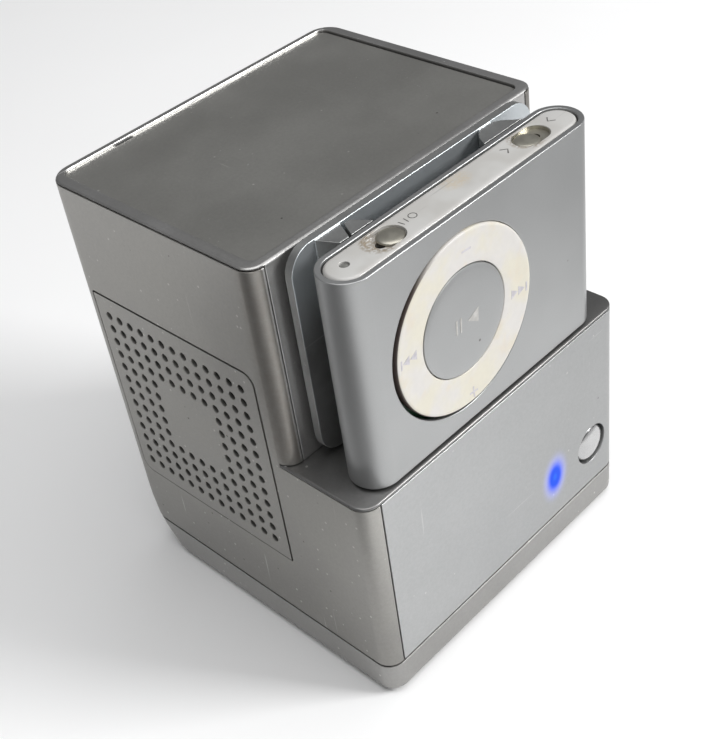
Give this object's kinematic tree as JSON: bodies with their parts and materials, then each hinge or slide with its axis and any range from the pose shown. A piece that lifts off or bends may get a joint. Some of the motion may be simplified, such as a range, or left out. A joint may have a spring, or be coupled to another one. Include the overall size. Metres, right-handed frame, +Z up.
{
  "type": "digital audio player in cube speaker dock",
  "caption": "Small silver cube speaker dock with a clip-on digital audio player docked upside down in its front, grilled sides, round power button and lit status spot.",
  "frame": {"origin": "middle of the footprint, on the plane of the rubber feet's undersides", "axes": "+Z up; -Y is the front, where the player stands; +X is to the right seen from the front, so the grilles face -X and +X"},
  "size_m": [0.047, 0.0472, 0.0606],
  "materials": {
    "silver": "satin silver",
    "aluminium": "satin anodised",
    "dark_metal": "satin",
    "steel": "plain",
    "plug_brass": "plated",
    "white_plastic": "semi-gloss",
    "ivory_plastic": "aged white, satin",
    "black_plastic": "matt",
    "rubber": "matt",
    "board": "solder mask",
    "cell": "foil pouch",
    "paper": "coated paper cone",
    "blue_lens": "lit blue",
    "green_lens": "clear lens"
  },
  "bodies": {
    "dock": {"dock_shell": "silver", "top_panel": "silver", "side_panel_left": "silver", "side_panel_right": "silver", "grille_panel_left": "silver", "grille_panel_right": "silver", "front_panel": "silver", "base_plate": "silver", "speaker_basket_left": "dark_metal", "speaker_basket_right": "dark_metal", "speaker_magnet_left": "steel", "speaker_magnet_right": "steel", "rubber_foot_1": "rubber", "rubber_foot_2": "rubber", "rubber_foot_3": "rubber", "rubber_foot_4": "rubber", "base_screw_1": "steel", "base_screw_2": "steel", "base_screw_3": "steel", "base_screw_4": "steel", "amplifier_board": "board", "dock_battery": "cell", "control_board": "board", "tact_switch": "black_plastic", "status_led": "blue_lens", "charge_socket": "steel", "jack_plug": "plug_brass", "plug_collar": "black_plastic", "plug_bracket": "black_plastic"},
    "left_cone": {"speaker_cone_left": "paper"},
    "right_cone": {"speaker_cone_right": "paper"},
    "dock_power_button": {"power_button": "aluminium"},
    "player": {"player_case": "aluminium", "switch_end_cap": "white_plastic", "jack_end_cap": "white_plastic", "power_switch_body": "dark_metal", "mode_switch_body": "dark_metal", "status_light": "green_lens", "logic_board": "board", "player_battery": "cell", "jack_socket": "black_plastic", "clip_bracket": "aluminium", "clip_pin": "steel", "clip_spring": "steel"},
    "clip": {"clip_plate": "aluminium"},
    "ring": {"control_ring": "ivory_plastic"},
    "centre": {"centre_button": "aluminium"},
    "power_slider": {"power_switch": "dark_metal"},
    "mode_slider": {"mode_switch": "dark_metal"}
  },
  "joints": [
    {"name": "player_lift", "type": "slide", "parent": "dock", "child": "player", "axis": [0, 0, 1], "range_m": [0, 0.036]},
    {"name": "clip_open", "type": "hinge", "parent": "player", "child": "clip", "pos_m": [-0.0119, -0.01535, 0.04684], "axis": [0, 0, 1], "range_deg": [0, 1.3], "stiffness_Nm_per_rad": 0.05},
    {"name": "ring_press", "type": "slide", "parent": "player", "child": "ring", "axis": [0, 1, 0], "range_m": [0, 0.00035], "stiffness_N_per_m": 900},
    {"name": "centre_press", "type": "slide", "parent": "player", "child": "centre", "axis": [0, 1, 0], "range_m": [0, 0.0004], "stiffness_N_per_m": 900},
    {"name": "power_switch_slide", "type": "slide", "parent": "player", "child": "power_slider", "axis": [-1, 0, 0], "range_m": [0, 0.0016]},
    {"name": "mode_switch_slide", "type": "slide", "parent": "player", "child": "mode_slider", "axis": [1, 0, 0], "range_m": [0, 0.0016]},
    {"name": "dock_power_press", "type": "slide", "parent": "dock", "child": "dock_power_button", "axis": [0, 1, 0], "range_m": [0, 0.0004], "stiffness_N_per_m": 900},
    {"name": "left_cone_move", "type": "slide", "parent": "dock", "child": "left_cone", "axis": [-1, 0, 0], "range_m": [-0.0003, 0.0003], "stiffness_N_per_m": 1500},
    {"name": "right_cone_move", "type": "slide", "parent": "dock", "child": "right_cone", "axis": [1, 0, 0], "range_m": [-0.0003, 0.0003], "stiffness_N_per_m": 1500}
  ]
}
